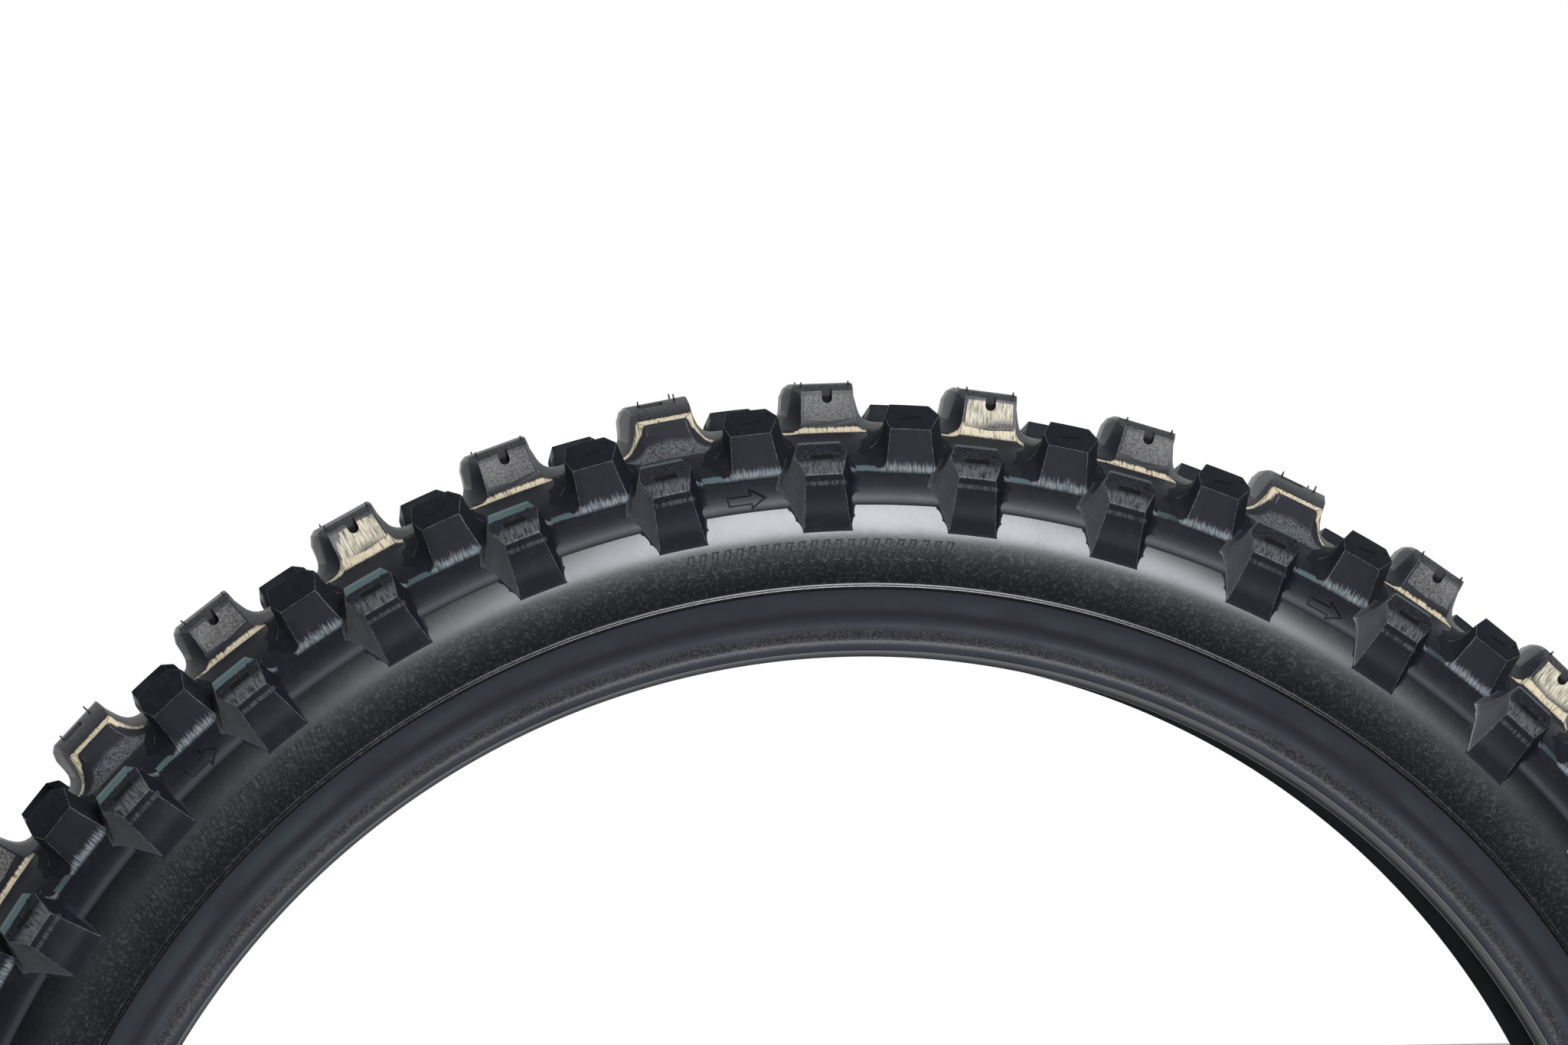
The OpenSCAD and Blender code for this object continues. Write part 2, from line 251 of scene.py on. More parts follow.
wire_metal = bead_wire()
wrap_cloth = woven_cloth()
filler_gum = gum("filler_gum", (0.022, 0.020, 0.020, 1))
for side in ("right", "left"):
    set_finish(side + "_bead_core", wire_metal)
    set_finish(side + "_bead_wrap", wrap_cloth)
    set_finish(side + "_bead_filler", filler_gum)


# ---- Tread strips -------------------------------------------------------------------------------
# Three extruded strips of tread rubber that knit together in the press: one over the crown and one
# over each shoulder. The knobs stand on them. Painted extruder lines mark the stock, cream near the
# crown and blue-green on the shoulders, and the press draws them out wherever the rubber flows.

crown_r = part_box("tread_crown")[1][2] * 1000
half_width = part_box("left_sidewall")[1][1] * 1000
wide_r = 304.0
side_skin = 3.8
crown_skin = 6.6
crown_rise = crown_r - crown_skin - wide_r
bead_fall = 40.3
ply_half = half_width - side_skin
strip_edge = 28
wing_edge = 68
wing_start = 48
wing_lip = 0.8
lip_fall = ((69.2, 0.66), (70.4, 0.40), (71.8, 0.12), (72.4, -0.2))
strip_depth = 4.0
rim_edge = 112
bead_gain = 1.4


def casing(phi, proud=0.0):
    """Radius and distance across of the outer skin, phi degrees round it from the crown."""
    angle = math.radians(phi)
    reach = crown_rise if abs(phi) < 90 else bead_fall
    normal = Vector((math.cos(angle) / reach, math.sin(angle) / ply_half)).normalized()
    skin = side_skin + (crown_skin - side_skin) * math.cos(angle) ** 2
    if abs(phi) <= wing_edge:
        skin += wing_lip * min(1.0, max(0.0, (abs(phi) - wing_start) / 16))
    if abs(phi) > 90:
        skin = side_skin + bead_gain * ((abs(phi) - 90) / 24) ** 2
    ply = Vector((wide_r + reach * math.cos(angle), ply_half * math.sin(angle)))
    return ply + (skin + proud) * normal


def spin_ring(name, outline, steps=360):
    """A ring about the wheel's axis, spun from a closed outline of (radius, across)."""
    bpy.ops.object.select_all(action="DESELECT")
    bpy.ops.mesh.primitive_circle_add(vertices=len(outline), radius=0.01)
    ring = bpy.context.object
    ring.name = name
    for corner, (radius, across) in zip(ring.data.vertices, outline):
        corner.co = (0, across * 0.001, radius * 0.001)
    bpy.ops.object.mode_set(mode="EDIT")
    bpy.ops.mesh.select_all(action="SELECT")
    bpy.ops.mesh.spin(steps=steps, angle=2 * math.pi, center=(0, 0, 0), axis=(0, 1, 0))
    bpy.ops.mesh.select_all(action="SELECT")
    bpy.ops.mesh.remove_doubles(threshold=0.00001)
    bpy.ops.mesh.normals_make_consistent(inside=False)
    bpy.ops.object.mode_set(mode="OBJECT")
    bpy.ops.object.shade_smooth_by_angle(angle=math.radians(32))
    return ring


def degrees(start, stop, step):
    """Angles from start to stop, both of them included."""
    return [start + i * step for i in range(round((stop - start) / step) + 1)]


def strip_outline(start, stop):
    """Section of a tread strip: its outer skin with a lip on the wall, and an inner face."""
    skin = [casing(phi) for phi in degrees(start, stop, 2)]
    if stop == wing_edge:
        skin += [casing(phi, proud) for phi, proud in lip_fall]
    if start == -wing_edge:
        skin = [casing(-phi, proud) for phi, proud in lip_fall[::-1]] + skin
    return skin + [casing(phi, -strip_depth) for phi in degrees(start, stop, 4)][::-1]


cream = (0.50, 0.44, 0.32, 1)
teal = (0.055, 0.085, 0.092, 1)
tread_black = (0.0042, 0.0052, 0.0088, 1)
tread_grey = (0.020, 0.0205, 0.023, 1)


def moulded_black(place):
    """Colour, roughness and relief of moulded black rubber, cloudy with bloom and finely pitted."""
    cloud = place.noise(0.22, 5.0, 0.6)
    grain = place.noise(1.3, 4.0, 0.65)
    bloom = cloud.step(0.48, 0.78) * grain.step(0.35, 0.65)
    colour = (bloom * 0.55).mix(tread_black, tread_grey)
    return colour, cloud * 0.12 + grain * 0.08 + 0.30, cloud * 0.5 + grain * 0.5


def floor_rubber():
    """Tread floor: moulded black with the cream and blue-green extruder lines lying flat on it."""
    material, place = new_material("tread_floor_rubber")
    across = wheel_place(place)[1]
    colour, roughness, height = moulded_black(place)
    waver = (place.noise(0.06, 2.0) - 0.5) * 2.2
    ragged = (place.noise(1.1, 4.0) - 0.5) * 0.7
    cream_line = (across + waver + ragged).near(15.2, 0.45, 0.35)
    cream_line = cream_line * place.noise(0.35, 3.0).step(0.3, 0.5)
    teal_line = (across + waver * 0.6 + ragged).near(31.0, 0.55, 0.4)
    teal_line = teal_line * place.noise(0.02, 3.0).step(0.3, 0.6)
    colour = teal_line.mix(cream_line.mix(colour, cream), teal)
    roughness = (cream_line + teal_line) * 0.2 + roughness
    return finish(material, colour, roughness + 0.08, height, 0.03, 0.35)


floor_skin = floor_rubber()
for name, start, stop in (("tread_crown", -strip_edge, strip_edge),
                          ("left_tread_shoulder", strip_edge, wing_edge),
                          ("right_tread_shoulder", -wing_edge, -strip_edge)):
    strip = spin_ring(name + "_strip", strip_outline(start, stop))
    strip.data.materials.append(floor_skin)
    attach(strip, "root")
    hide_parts(name)


# ---- Sidewalls ----------------------------------------------------------------------------------
# A thin strip of flexible black rubber on each side, from under the edge of the tread to the rim
# line, a fine raised rib that shows how evenly the tyre sits on the rim. The mould leaves a mottled
# satin face with a few plugged vents on it.

wall_start, wall_stop, wall_depth = wing_edge + 0.4, 108.4, 2.4
rib_span, rib_half = 2.8, 0.3


def wall_outline(sign):
    """Section of a sidewall: its skin down to the rounded rim rib, and an inner face."""
    skin = [casing(phi) for phi in degrees(wall_start, wall_stop, 2)]
    skin += [casing(rim_edge - rib_span + i * rib_span / 10,
                    rib_half - rib_half * math.cos(i * math.pi / 5)) for i in range(11)]
    inside = [casing(phi, -wall_depth) for phi in degrees(wall_start, wall_stop, 4)][::-1]
    return [(radius, sign * across) for radius, across in skin + inside]


def wall_rubber():
    """Satin sidewall black: mottled by the pitted mould, smoother on the swell under the tread."""
    material, place = new_material("sidewall_rubber")
    radius = wheel_place(place)[0]
    cloud = place.noise(0.10, 4.0, 0.6)
    pits = place.noise(0.9, 5.0, 0.7)
    swell = (radius + cloud * 7).step(304.5, 309.5)
    specks = pits.step(0.50, 0.62) * (1 - swell * 0.8)
    colour = (specks * 0.8).mix((0.0026, 0.0031, 0.0048, 1), (0.009, 0.009, 0.0105, 1))
    roughness = specks * 0.10 + cloud * 0.08 + 0.21
    return finish(material, colour, roughness, pits * (1.25 - swell), 0.035)


wall_skin = wall_rubber()
for side, sign in (("left", 1), ("right", -1)):
    wall = spin_ring(side + "_sidewall_skin", wall_outline(sign))
    wall.data.materials.append(wall_skin)
    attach(wall, "root")
    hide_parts(side + "_sidewall")


# ---- Bead skins ---------------------------------------------------------------------------------
# The hard chafer rubber that grips the rim: a flange face with shallow bands from the turning marks
# in the mould ring, a rounded heel, the seat and a thin toe. It is smoother than the sidewall.

seat_r = frame["record"]["mounts"][0]["dims"]["r_mm"]
heel_y = 32.0
toe_y = 21.2


def bead_outline(sign):
    """Section of a bead skin: banded flange, heel, seat and toe, closed inside the rubber."""
    top = casing(rim_edge)
    face = []
    rows = 22
    for i in range(rows + 1):
        share = i / rows
        radius = top[0] + (seat_r + 2.6 - top[0]) * share
        across = top[1] + (heel_y + 0.15 - top[1]) * (1 - (1 - share) ** 1.5)
        face.append((radius, across + 0.16 * math.sin(share * 3 * 2 * math.pi)))
    heel = [(seat_r + 1.3 - 1.3 * math.sin(a), heel_y - 1.3 + 1.3 * math.cos(a))
            for a in (0.25, 0.55, 0.85, 1.15, 1.45)]
    base = [(seat_r, 29.6), (seat_r, 26.5), (seat_r - 0.1, 24.6), (seat_r - 1.3, 22.8)]
    toe = [(seat_r - 2.1, 21.9), (seat_r - 2.15, 21.4), (seat_r - 1.7, toe_y),
           (seat_r + 7, toe_y + 0.1)]
    inside = [(seat_r + 7, 22.4), (seat_r + 1.6, 22.4), (seat_r + 0.8, 23.4), (seat_r + 0.8, 30.4),
              (seat_r + 1.8, 30.9), (seat_r + 8, 30.9), (top[0], top[1] - 2.5)]
    return [(radius, sign * across) for radius, across in face + heel + base + toe + inside]


def bead_rubber():
    """Smooth bluish black with soft bands round it, and a band of pitting just above the heel."""
    material, place = new_material("bead_rubber")
    radius = wheel_place(place)[0]
    drift = place.noise(0.03, 3.0)
    bands = ((radius + drift * 6) * 0.75).math("SINE") * 0.5 + 0.5
    pits = place.noise(1.3, 5.0, 0.7)
    rough_band = (radius + drift * 2).near(272.5, 1.6, 1.4)
    speck = pits.step(0.45, 0.6) * rough_band
    colour = (bands * 0.8 * drift).mix((0.0140, 0.0150, 0.0195, 1), (0.036, 0.044, 0.056, 1))
    colour = speck.mix(colour, (0.034, 0.033, 0.035, 1))
    roughness = drift * 0.15 + speck * 0.2 + 0.22
    return finish(material, colour, roughness, pits * rough_band + bands * 0.1, 0.05)


bead_skin = bead_rubber()
for side, sign in (("left", 1), ("right", -1)):
    bead = spin_ring(side + "_bead_skin", bead_outline(sign))
    bead.data.materials.append(bead_skin)
    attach(bead, "root")
    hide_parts(side + "_chafer")


# ---- Centre knobs, narrow and medium ------------------------------------------------------------
# Solid rubber blocks cast in one with the tread. Each has a crowned top, a bevel band and a flat,
# blasted panel on either side with a U notch in it. The medium ones reach a little further out, so
# the press smears the cream line up over their panels. Their back flanks swell out, with a painted
# sheen: a lighter grey on the faces that catch the light from behind.

knob_places = 40
pitch = 360 / knob_places
crest_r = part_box("centre_knobs_narrow")[1][2] * 1000
flat_drop = 0.9
flat_half = 7.4
flat_sag = 0.35
top_half = 9.8
foot_half = 12.6
back_half = 14.4
bevel_width = 3.0
panel_drop = 3.5
panel_skirt = 3.8
panel_border, panel_sink = 0.0009, 0.0003
notch_x, notch_half, notch_drop, notch_depth = 0.7, 1.75, 2.4, 1.9
sheen_rise = 2.5

skin_rows = []
for phi in degrees(0, rim_edge, 0.5):
    point = casing(phi)
    run = skin_rows[-1][1] + (point - casing(phi - 0.5)).length if skin_rows else 0.0
    skin_rows.append((phi, run, point[0], point[1]))


def find_phi(column, value):
    """Place round the section where its run (1), radius (2) or distance across (3) is this."""
    for low, high in zip(skin_rows, skin_rows[1:]):
        if (low[column] - value) * (high[column] - value) <= 0:
            share = (value - low[column]) / (high[column] - low[column])
            return low[0] + share * (high[0] - low[0])
    return rim_edge


def skin_run(column, value):
    """Distance along the skin, from the crown to a radius (2) or a distance across (3)."""
    phi = find_phi(column, abs(value))
    low = skin_rows[int(phi * 2)]
    run = low[1] + (casing(phi) - Vector(low[2:])).length
    return math.copysign(run, value)


def on_skin(x, run, proud=0.0):
    """Place (round, across, radius) that lies x round the tyre and this far along its skin."""
    radius, across = casing(find_phi(1, abs(run)), proud)
    return Vector((x, math.copysign(across, run), radius))


def to_frame(place):
    """A place (round, across, radius) in millimetres as a point of the model in metres."""
    turn = place[0] / place[2]
    return Vector((place[2] * math.sin(turn), place[1], place[2] * math.cos(turn))) * 0.001


def draw_up(name, levels):
    """A block drawn up out of its foot: one face, extruded through each level of places in turn."""
    levels = [[to_frame(place) for place in level] for level in levels]
    bpy.ops.object.select_all(action="DESELECT")
    bpy.ops.mesh.primitive_circle_add(vertices=len(levels[0]), radius=0.01, fill_type="NGON")
    block = bpy.context.object
    block.name = name
    for corner, point in zip(block.data.vertices, levels[0]):
        corner.co = point
    for below, above in zip(levels, levels[1:]):
        bpy.ops.object.mode_set(mode="EDIT")
        bpy.ops.mesh.extrude_region_move()
        bpy.ops.object.mode_set(mode="OBJECT")
        for corner in block.data.vertices:
            if corner.select:
                nearest = min(range(len(below)), key=lambda i: (corner.co - below[i]).length)
                corner.co = above[nearest]
    bpy.ops.object.mode_set(mode="EDIT")
    bpy.ops.mesh.select_all(action="SELECT")
    bpy.ops.mesh.normals_make_consistent(inside=False)
    bpy.ops.object.mode_set(mode="OBJECT")
    return block


def knob_levels(corners, top_radius):
    """Levels of a knob from its sunk edge, up a round fillet and its flank, to the rim of its top.

    A corner is its top (round, across), its foot (round, run along the skin), the length of the
    fillet there, and how much of the foot's spread the flank has by a third of the way down.
    """
    feet = [Vector(corner[2:4]) for corner in corners]
    area = sum(a.x * b.y - a.y * b.x for a, b in zip(feet, feet[1:] + feet[:1]))
    levels = []
    for i, (top_x, top_y, foot_x, foot_run, fillet, hang) in enumerate(corners):
        after = feet[(i + 1) % len(feet)]
        ways = [(feet[i] - feet[i - 1]).normalized(), (after - feet[i]).normalized()]
        normals = [Vector((way.y, -way.x)) * math.copysign(1, area) for way in ways]
        out = (normals[0] + normals[1]) / (1 + normals[0].dot(normals[1]))
        knee = on_skin(foot_x, foot_run)
        edge = feet[i] + out * fillet
        sunk = feet[i] + out * (fillet + 0.15)
        top = Vector((top_x, top_y, top_radius(top_y)))
        drop = knee - top
        shoulder = top + Vector((drop.x * hang, drop.y * hang, drop.z * 0.3))
        brow = top + Vector((drop.x * hang * 0.58, drop.y * hang * 0.58, drop.z * 0.09))
        spring = knee + (shoulder - knee) * min(0.85, fillet * 1.1 / (shoulder - knee).length)
        start = on_skin(edge.x, edge.y)
        curve = [start * (1 - t) ** 2 + knee * (2 * t * (1 - t)) + spring * t ** 2
                 for t in (0.0, 0.2, 0.4, 0.6, 0.8, 1.0)]
        levels.append([on_skin(sunk.x, sunk.y, -0.2)] + curve + [shoulder, brow, top])
    return [list(level) for level in zip(*levels)]


def both_halves(half):
    """A centre knob's corners from those of its left half, which runs from front to back."""
    other = [(c[0], -c[1], c[2], -c[3], c[4], c[5]) for c in half[-2:0:-1]]
    return half + other


def centre_top(bevel_from, end_y, end_drop):
    """Radius of a centre knob's top by distance across: nearly flat, then down to its end."""
    def radius(across):
        fall = flat_drop + flat_sag * (min(abs(across), bevel_from) / flat_half) ** 2
        past = max(0.0, abs(across) - bevel_from) / (end_y - bevel_from)
        return crest_r - fall - (end_drop - fall) * past ** 1.15
    return radius


def pick(block, wanted):
    """Selects the faces of a block that pass a test on their centre, in millimetres, and normal."""
    bpy.ops.object.select_all(action="DESELECT")
    block.select_set(True)
    bpy.context.view_layer.objects.active = block
    mesh = block.data
    for corner in mesh.vertices:
        corner.select = False
    for edge in mesh.edges:
        edge.select = False
    for face in mesh.polygons:
        face.select = wanted(face.center * 1000, face.normal)


def rib_the_top(block, levels):
    """Joins the front and back corners of a top that lie at the same distance across."""
    for place in levels[-1]:
        if place[0] > top_half - 0.6:
            pair = [p for p in levels[-1] if abs(p[1] - place[1]) < 0.01 and p[0] < 0]
            if len(pair) == 1:
                ends = [to_frame(place), to_frame(pair[0])]
                pick(block, lambda centre, normal: False)
                for corner in block.data.vertices:
                    corner.select = min((corner.co - end).length for end in ends) < 0.00001
                bpy.ops.object.mode_set(mode="EDIT")
                bpy.ops.mesh.select_mode(type="VERT")
                bpy.ops.mesh.vert_connect()
                bpy.ops.object.mode_set(mode="OBJECT")


def painted_shade_rubber():
    """Inside of the notches, slots and slits: painted shade in deep black, painted light greyer
    high up.
    """
    material, place = new_material("painted_shade_rubber")
    radius = wheel_place(place)[0]
    # Painted shade low in the recesses, and a painted lit grey high on the notches' back walls.
    high = radius.step(crest_r - 6.0, crest_r - 4.4)
    colour = high.mix((0.0022, 0.0022, 0.0026, 1), (0.030, 0.030, 0.032, 1))
    return finish(material, colour, 0.7, place.noise(1.1), 0.03, 0.12)


painted_shade_black = painted_shade_rubber()


def cut_out(block, cutter):
    """Cuts a cutter's shape out of a block, with painted shade inside, and throws the cutter away.
    """
    cutter.data.materials.append(painted_shade_black)
    tool = block.modifiers.new("cut", "BOOLEAN")
    tool.operation = "DIFFERENCE"
    tool.solver = "EXACT"
    tool.material_mode = "TRANSFER"
    tool.object = cutter
    bpy.context.view_layer.objects.active = block
    bpy.ops.object.modifier_apply(modifier=tool.name)
    bpy.data.objects.remove(cutter)


def edge_rubber():
    """The edges of the knobs: greyer than their faces, partly rubbed and partly a painted
    highlight, a little glossy, in short dashes.
    """
    material, place = new_material("rubbed_and_highlit_edge_rubber")
    dash = place.noise(0.9, 4.0, 0.7).step(0.40, 0.62)
    # Partly rubbed wear and partly a painted highlight: lighter grey dashes on every rounded edge.
    colour = dash.mix((0.014, 0.014, 0.016, 1), (0.085, 0.086, 0.092, 1))
    return finish(material, colour, 0.5 - dash * 0.15, place.noise(2.0), 0.03)


edge_black = edge_rubber()


def soften(block, width=0.3):
    """Rounds a block's edges as a mould does, greys them as rubbed wear and painted highlight, and
    shades it smooth between them.
    """
    block.data.materials.append(edge_black)
    bpy.ops.object.select_all(action="DESELECT")
    block.select_set(True)
    bpy.context.view_layer.objects.active = block
    tool = block.modifiers.new("rounding", "BEVEL")
    tool.width = width * 0.001
    tool.segments = 2
    tool.limit_method = "ANGLE"
    tool.angle_limit = math.radians(28)
    tool.material = len(block.data.materials) - 1
    bpy.ops.object.modifier_apply(modifier=tool.name)
    bpy.ops.object.shade_smooth_by_angle(angle=math.radians(27))


def add_hairs(block, places, thick=0.42):
    """Joins to a block the short hairs of rubber that the mould's vent holes leave."""
    for round_x, across, radius, length in places:
        bpy.ops.object.select_all(action="DESELECT")
        root = to_frame((round_x, across, radius))
        bpy.ops.mesh.primitive_cone_add(vertices=6, radius1=thick * 0.001, radius2=thick * 0.0006,
                                        depth=length * 0.001, location=root)
        hair = bpy.context.object
        bpy.ops.object.transform_apply(location=True, rotation=True, scale=True)
        bpy.ops.object.shade_smooth()
        hair.data.materials.append(block.data.materials[0])
        block.select_set(True)
        bpy.context.view_layer.objects.active = block
        bpy.ops.object.join()


def flank_rubber():
    """Back flanks of the knobs: a lighter grey painted on as sheen from the light behind, and
    smoother.
    """
    material, place = new_material("painted_sheen_flank_rubber")
    cloud = place.noise(0.3, 5.0, 0.6)
    grain = place.noise(1.3, 4.0, 0.65)
    # Painted sheen: lighter grey than the knobs' own black, for the light that the back flanks
    # catch.
    colour = (cloud * 0.5 + grain * 0.5).mix((0.016, 0.017, 0.021, 1), (0.058, 0.060, 0.068, 1))
    return finish(material, colour, grain * 0.12 + 0.30, grain, 0.02, 0.6)


painted_sheen_flank = flank_rubber()


def paint_flank_sheen(block, lowest, facing, widest=60):
    """Paints a knob's back flank with painted sheen, down to a radius and out to a distance across.
    """
    block.data.materials.append(painted_sheen_flank)
    pick(block, lambda centre, normal: normal.x < -facing and centre.z > lowest
         and abs(centre.y) < widest)
    for face in block.data.polygons:
        if face.select:
            face.material_index = len(block.data.materials) - 1


def cast_row(block, name, turns, node, mirrored=False):
    """Copies a knob to its places round the tyre, in degrees, and casts the row as one piece."""
    copies = []
    for turn in turns:
        copy = bpy.data.objects.new(name, block.data.copy())
        if mirrored:
            copy.data.transform(Matrix.Scale(-1, 4, (0, 1, 0)))
            copy.data.flip_normals()
        copy.data.transform(Matrix.Rotation(math.radians(turn), 4, "Y"))
        bpy.context.collection.objects.link(copy)
        copies.append(copy)
    bpy.ops.object.select_all(action="DESELECT")
    for copy in copies:
        copy.select_set(True)
    bpy.context.view_layer.objects.active = copies[0]
    bpy.ops.object.join()
    row = bpy.context.object
    row.name = name
    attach(row, "root")
    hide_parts(node)
    return row


def u_cutter(side, panel_y, panel_r):
    """Cutter for the U notch in the panel on one side: round below, open through the bevel band."""
    round_end = [(notch_x + notch_half * math.sin(a), -notch_half * math.cos(a))
                 for a in (i * math.pi / 8 for i in range(-4, 5))]
    outline = round_end + [(notch_x + notch_half, 9.0), (notch_x - notch_half, 9.0)]
    return draw_up("notch", [[(x, side * across, panel_r - notch_drop + r) for x, r in outline]
                             for across in (panel_y - notch_depth, panel_y + 6)])


def brush_marks(place, scale, across_share=0.25, radius_share=0.10):
    """Streaky noise, drawn out up and down a flank as the rubber flowed in the press."""
    radius, across, turn = wheel_place(place)
    inputs = {"X": turn * 340, "Y": across * across_share, "Z": radius * radius_share}
    return turn.node("ShaderNodeCombineXYZ", inputs).noise(scale, 5.0, 0.65)


def draw_line(place, low, high, fade):
    """Cream extruder line between two distances across, drawn out in streaks on a flank."""
    streak = brush_marks(place, 1.6)
    reach = wheel_place(place)[1] + (streak - 0.5) * fade
    band = reach.step(low - 0.25, low + 0.25) * reach.step(high + 0.25, high - 0.25)
    return band * streak.step(0.30, 0.52)


def knob_rubber():
    """Centre knob black: satin, bloomed grey in places, painted lighter grey high on the knob as
    light on its top, with the cream line where it crosses.
    """
    material, place = new_material("centre_knob_rubber")
    radius, across, _ = wheel_place(place)
    colour, roughness, height = moulded_black(place)
    line = draw_line(place, 14.3, 15.9, 1.0)
    grit = place.noise(1.6, 5.0)
    high = radius.step(crest_r - 9, crest_r - 3)
    # Painted light: speckled lighter grey on the upper part of the knob, as light falling on its
    # top.
    grey_patches = grit.step(0.42, 0.66) * high * across.step(15.9, 15.0) * 0.8
    colour = line.mix(grey_patches.mix(colour, (0.050, 0.050, 0.053, 1)), cream)
    foot = across.near(19.7, 0.9, 0.9) * grit.step(0.34, 0.6)
    colour = foot.mix(colour, (0.075, 0.080, 0.088, 1))
    end = across.step(16.0, 16.8) * 0.34
    return finish(material, colour, roughness + 0.08 + end, height, 0.04, 0.5)


def panel_rubber(name, low, high, fade, swing):
    """Blasted panel face, speckled grey, with the cream line smeared up it in brushed streaks."""
    material, place = new_material(name)
    _, across, turn = wheel_place(place)
    speck = place.noise(1.5, 5.0, 0.75)
    grey = speck.step(0.38, 0.62)
    sway = (turn * 2 - 0.942).math("COSINE") * swing
    bumps = (turn * 78.0).math("SINE") * 0.45 * (1 if swing else 0)
    streak = brush_marks(place, 1.9)
    reach = across + (streak - 0.5) * fade + sway + bumps
    smear = reach.step(low - 0.3, low + 0.3) * reach.step(high + 0.5, high - 0.4)
    smear = smear * streak.step(0.24, 0.5)
    colour = grey.mix((0.014, 0.014, 0.015, 1), (0.110, 0.108, 0.108, 1))
    tone = streak.step(0.35, 0.7).mix((0.20, 0.18, 0.13, 1), (0.56, 0.52, 0.42, 1))
    colour = smear.mix(colour, tone)
    return finish(material, colour, speck * 0.15 + 0.5, speck * 0.7 + streak * 0.3, 0.06)


def centre_knob(name, panel_y, skirt_rubber):
    """A notched centre knob with its panels let in, in the place at the top of the tyre."""
    foot_y = skin_run(3, panel_y + panel_skirt)
    knee_y = skin_run(3, panel_y - bevel_width + 0.4)
    half = [(top_half, 0.0, foot_half, 0.0, 5.2, 0.12),
            (top_half, panel_y / 2 - 1.5, foot_half, knee_y / 2, 5.2, 0.12),
            (top_half, panel_y - bevel_width, foot_half - 0.2, knee_y, 5.0, 0.14),
            (top_half - 0.6, panel_y, foot_half - 2.4, foot_y, 3.2, 0.26),
            (0.7, panel_y, 0.9, foot_y + 0.2, 2.2, 0.3),
            (-7.8, panel_y, -8.8, foot_y, 3.0, 0.28),
            (-top_half, panel_y - bevel_width, -foot_half - 0.6, knee_y + 0.4, 4.6, 0.4),
            (-top_half - 0.6, panel_y / 2 - 1.5, -back_half, knee_y / 2, 4.6, 0.8),
            (-top_half - 0.8, 0.0, -back_half, 0.0, 4.6, 0.8)]
    top_radius = centre_top(panel_y - bevel_width, panel_y, panel_drop)
    levels = knob_levels(both_halves(half), top_radius)
    block = draw_up(name, levels)
    block.data.materials.append(knob_black)
    block.data.materials.append(skirt_rubber)
    rib_the_top(block, levels)
    pick(block, lambda centre, normal: abs(normal.y) > 0.8 and centre.z > crown_r + 1.5
         and abs(centre.x) < 9 and abs(centre.y) > panel_y - 0.2)
    bpy.ops.object.mode_set(mode="EDIT")
    bpy.ops.mesh.inset(thickness=panel_border, depth=-panel_sink)
    bpy.ops.object.mode_set(mode="OBJECT")
    for face in block.data.polygons:
        if face.select:
            face.material_index = 1
    paint_flank_sheen(block, crown_r + sheen_rise, 0.5, panel_y - 1)
    soften(block)
    for side in (-1, 1):
        cut_out(block, u_cutter(side, panel_y, top_radius(panel_y)))
    hair_r = crest_r - 1.0
    add_hairs(block, [(-7.4, -panel_y + 2.9, hair_r, 1.2), (8.4, -panel_y + 2.8, hair_r, 1.4),
                      (-7.4, panel_y - 2.9, hair_r, 1.2)])
    return block


knob_black = knob_rubber()
narrow_y, medium_y = 10.4, 11.9
narrow_panel = panel_rubber("narrow_panel_rubber", 13.6, 16.0, 1.2, 0.0)
narrow = centre_knob("narrow_knob", narrow_y, narrow_panel)
medium_panel = panel_rubber("medium_panel_rubber", 12.3, 14.4, 1.6, 0.7)
medium = centre_knob("medium_knob", medium_y, medium_panel)
narrow_turns = [pitch * i for i in range(0, knob_places, 2)]
medium_turns = [pitch * i for i in range(1, knob_places, 4)]
cast_row(narrow, "narrow_centre_row", narrow_turns, "centre_knobs_narrow")
cast_row(medium, "medium_centre_row", medium_turns, "centre_knobs_medium")
for block in (narrow, medium):
    bpy.data.objects.remove(block)


# ---- Centre knobs, wide -------------------------------------------------------------------------
# Every fourth centre knob reaches further out and has no panel: its crowned top runs to its ends,
# so the cream line shows on the top itself. A short slot is moulded in either half of the top.

wide_y = 16.2


def top_cutter(outline, top_radius, depth):
    """Cutter with an outline of (round, across) that follows a top and sinks depth below it."""
    return draw_up("cutter", [[(x, y, top_radius(y) + lift) for x, y in outline]
                              for lift in (-depth, 2.5)])


def bar(x, y, length, width, slant=0.0):
    """Outline of a bar with slightly rounded ends, centred on (round, across)."""
    half, edge = length / 2, width / 2
    corners = [(-half, -edge * 0.5), (-half + edge * 0.5, -edge), (half - edge * 0.5, -edge),
               (half, -edge * 0.5), (half, edge * 0.5), (half - edge * 0.5, edge),
               (-half + edge * 0.5, edge), (-half, edge * 0.5)]
    return [(x + a, y + b + a * slant) for a, b in corners]


foot_y = skin_run(3, wide_y + 3.9)
half = [(top_half, 0.0, foot_half, 0.0, 5.2, 0.12),
        (top_half, 5.4, foot_half, 5.6, 5.2, 0.12),
        (top_half, 10.8, foot_half - 0.1, 11.6, 5.0, 0.12),
        (top_half - 0.5, 14.4, foot_half - 0.6, 17.0, 4.6, 0.14),
        (6.6, wide_y, 9.2, foot_y, 3.4, 0.2),
        (0.0, wide_y, 0.4, foot_y + 0.3, 3.0, 0.3),
        (-6.4, wide_y, -8.4, foot_y, 3.4, 0.22),
        (-top_half + 0.4, 14.4, -foot_half, 17.0, 4.6, 0.2),
        (-top_half, 10.8, -foot_half - 0.8, 11.6, 4.6, 0.4),
        (-top_half - 0.6, 5.4, -back_half, 5.6, 4.6, 0.8),
        (-top_half - 0.8, 0.0, -back_half, 0.0, 4.6, 0.8)]
